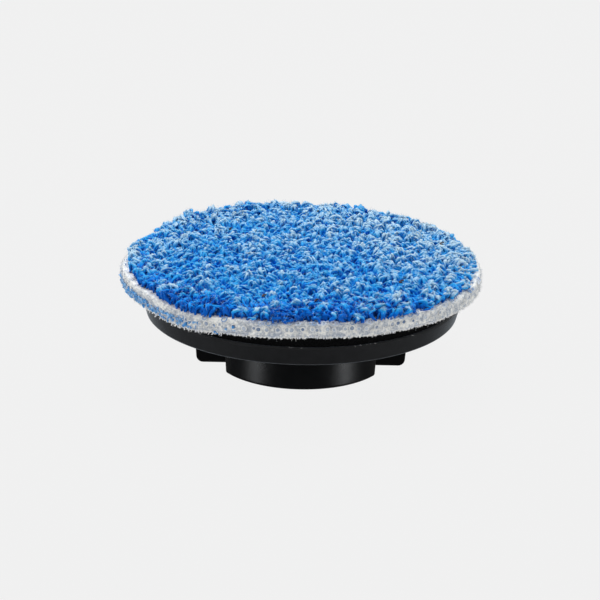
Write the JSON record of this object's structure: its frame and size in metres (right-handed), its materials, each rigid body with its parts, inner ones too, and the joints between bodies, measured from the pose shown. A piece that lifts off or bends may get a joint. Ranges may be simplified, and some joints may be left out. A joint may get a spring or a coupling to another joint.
{
  "type": "polishing pad",
  "caption": "Round blue microfibre polishing pad on a black hook-faced backing plate, with a clip-on hub that two side buttons release from the spindle.",
  "frame": {"origin": "on the spindle axis, at the hub's end face that the pad stands on", "axes": "+Z along the spindle axis out of the polishing face, +X towards the right-hand release button"},
  "size_m": [0.0844, 0.0844, 0.0276],
  "materials": {
    "microfibre_blue": "matte",
    "cloth_white": "matte",
    "pad_foam": "matte",
    "loop_white": "matte",
    "hook_black": "satin",
    "adhesive_film": "satin",
    "foam_black": "matte",
    "plate_charcoal": "matte",
    "hub_black": "satin",
    "cover_black": "matte",
    "button_black": "satin",
    "insert_steel": "satin",
    "latch_steel": "satin",
    "spring_steel": "gloss",
    "screw_steel": "satin"
  },
  "bodies": {
    "plate": {"backing_plate": "plate_charcoal", "hub_housing": "hub_black", "drive_insert": "insert_steel", "hub_cover": "cover_black", "hook_disc": "hook_black", "hook_adhesive": "adhesive_film", "cushion_foam": "foam_black", "foam_adhesive": "adhesive_film", "hub_screws": "screw_steel", "cover_screws": "screw_steel"},
    "pad": {"pile_face": "microfibre_blue", "face_cloth": "cloth_white", "pad_core": "pad_foam", "loop_backing": "loop_white"},
    "left_release": {"left_button": "button_black", "left_latch_plate": "latch_steel", "left_spring": "spring_steel"},
    "right_release": {"right_button": "button_black", "right_latch_plate": "latch_steel", "right_spring": "spring_steel"}
  },
  "joints": [
    {"name": "pad_lift", "type": "slide", "parent": "plate", "child": "pad", "axis": [0, 0, 1], "range_m": [0, 0.03]},
    {"name": "left_press", "type": "slide", "parent": "plate", "child": "left_release", "axis": [1, 0, 0], "range_m": [0, 0.002], "stiffness_N_per_m": 600, "springref_m": -0.003, "deforming": ["left_spring"]},
    {"name": "right_press", "type": "slide", "parent": "plate", "child": "right_release", "axis": [-1, 0, 0], "range_m": [0, 0.002], "stiffness_N_per_m": 600, "springref_m": -0.003, "deforming": ["right_spring"]}
  ]
}
